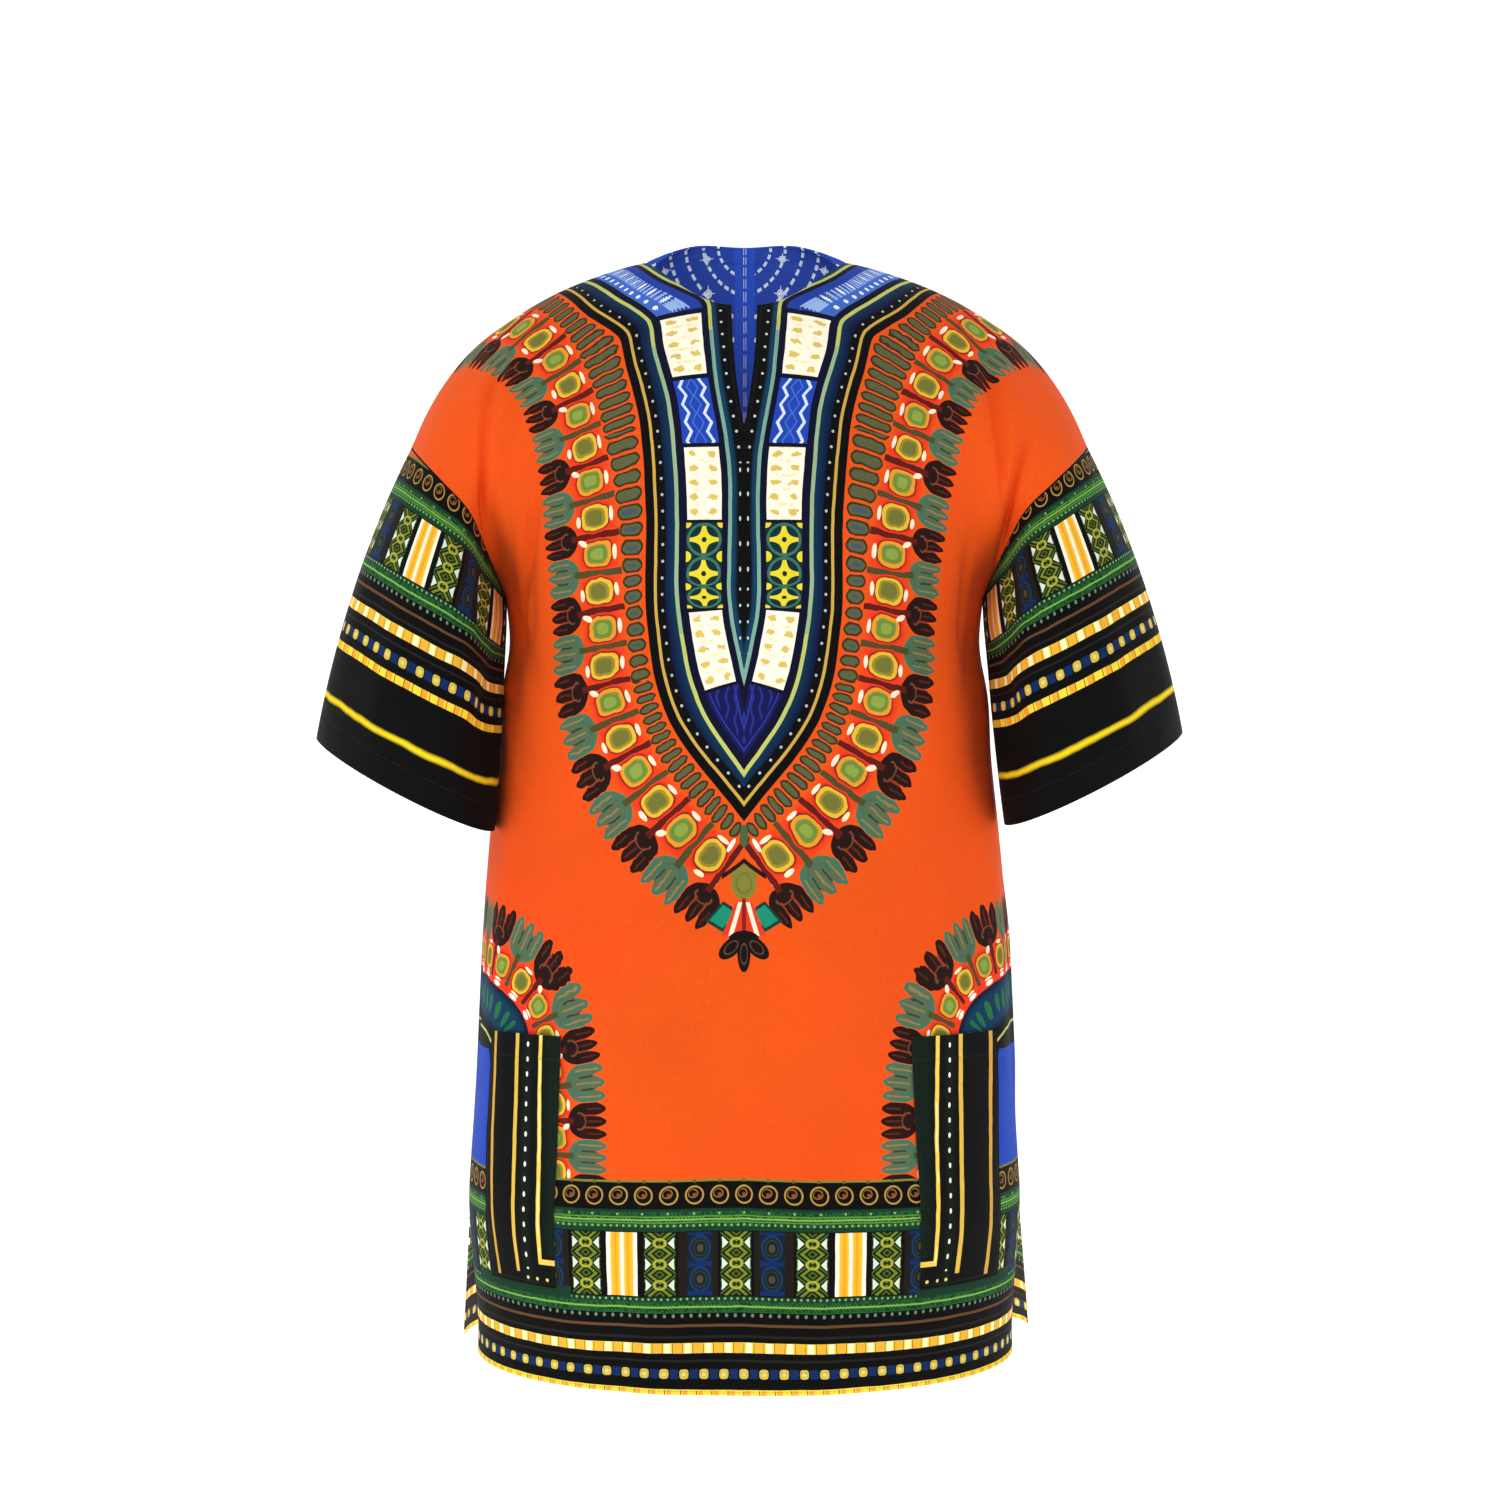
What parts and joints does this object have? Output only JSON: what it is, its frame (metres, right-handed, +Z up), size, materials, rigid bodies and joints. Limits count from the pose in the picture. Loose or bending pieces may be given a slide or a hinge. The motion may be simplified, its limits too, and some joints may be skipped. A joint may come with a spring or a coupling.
{
  "type": "dashiki shirt",
  "caption": "Hip-length cotton pullover shirt with a round slit neck, dropped short sleeves, side vents and two patch pockets, filled out and hollow.",
  "frame": {"origin": "midway between the two points where the shoulder seams meet the neck opening", "axes": "+Z up, the front of the shirt faces -Y, the wearer's left is +X"},
  "size_m": [0.601, 0.277, 0.7794],
  "materials": {
    "body_print": "matt printed plain weave",
    "sleeve_print": "matt printed plain weave",
    "pocket_print": "matt printed plain weave"
  },
  "bodies": {
    "root": {"front_panel": "body_print", "back_panel": "body_print", "sleeve_right": "sleeve_print", "sleeve_left": "sleeve_print", "pocket_right": "pocket_print", "pocket_left": "pocket_print"}
  },
  "joints": []
}
